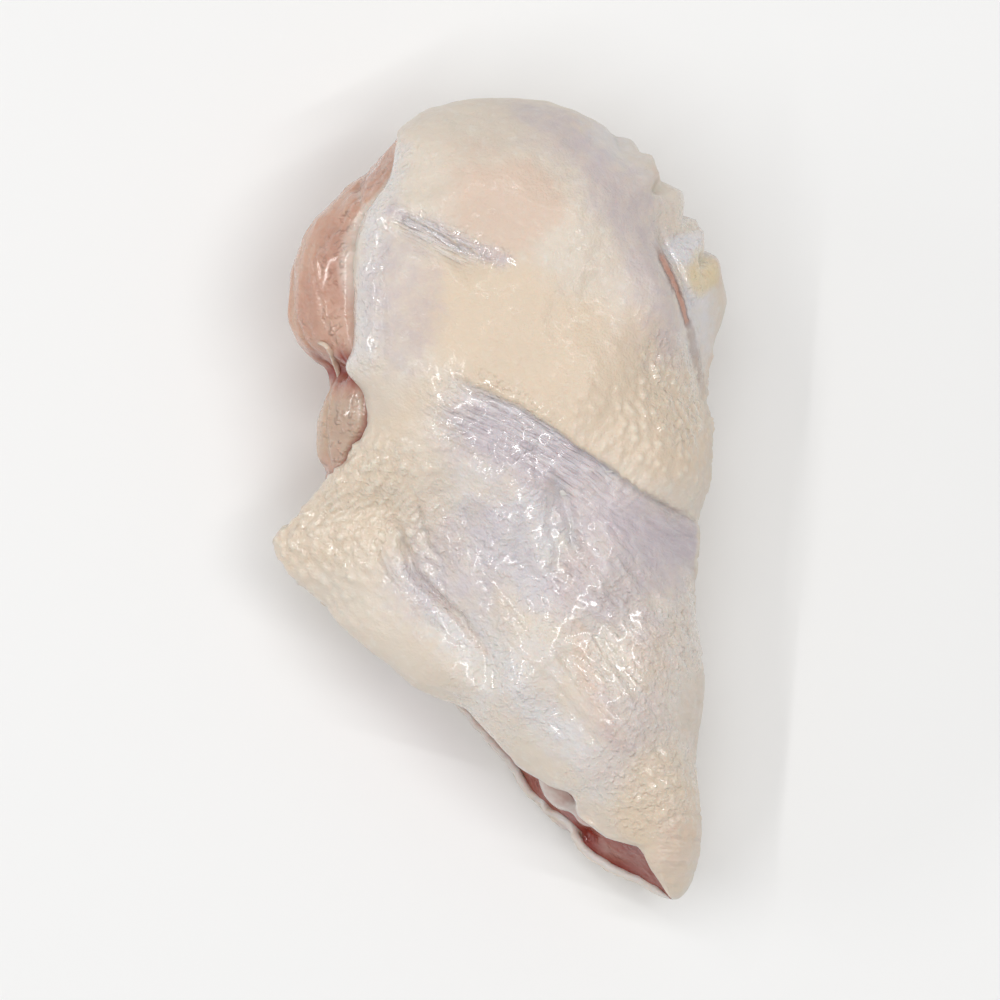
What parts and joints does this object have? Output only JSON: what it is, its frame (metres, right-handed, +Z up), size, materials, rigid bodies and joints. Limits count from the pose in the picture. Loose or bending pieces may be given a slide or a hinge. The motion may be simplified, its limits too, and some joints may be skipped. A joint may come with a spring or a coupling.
{
  "type": "raw chicken drumette",
  "caption": "Raw chicken wing drumette lying on its inner side: thick skin-wrapped shoulder with bare muscle at the cut, a skin web, and a tapering elbow end with a cartilage knob.",
  "frame": {"origin": "on the table, under the middle of the part's box", "axes": "+Z up, away from the table; +Y along the part, from the elbow tip to the thick shoulder end; +X to the smooth right side, away from the skin web"},
  "size_m": [0.055, 0.0978, 0.0307],
  "materials": {
    "skin": "wet raw chicken skin, cream with lilac thin patches, pimpled"
  },
  "bodies": {
    "root": {"drumette": "skin"}
  },
  "joints": []
}
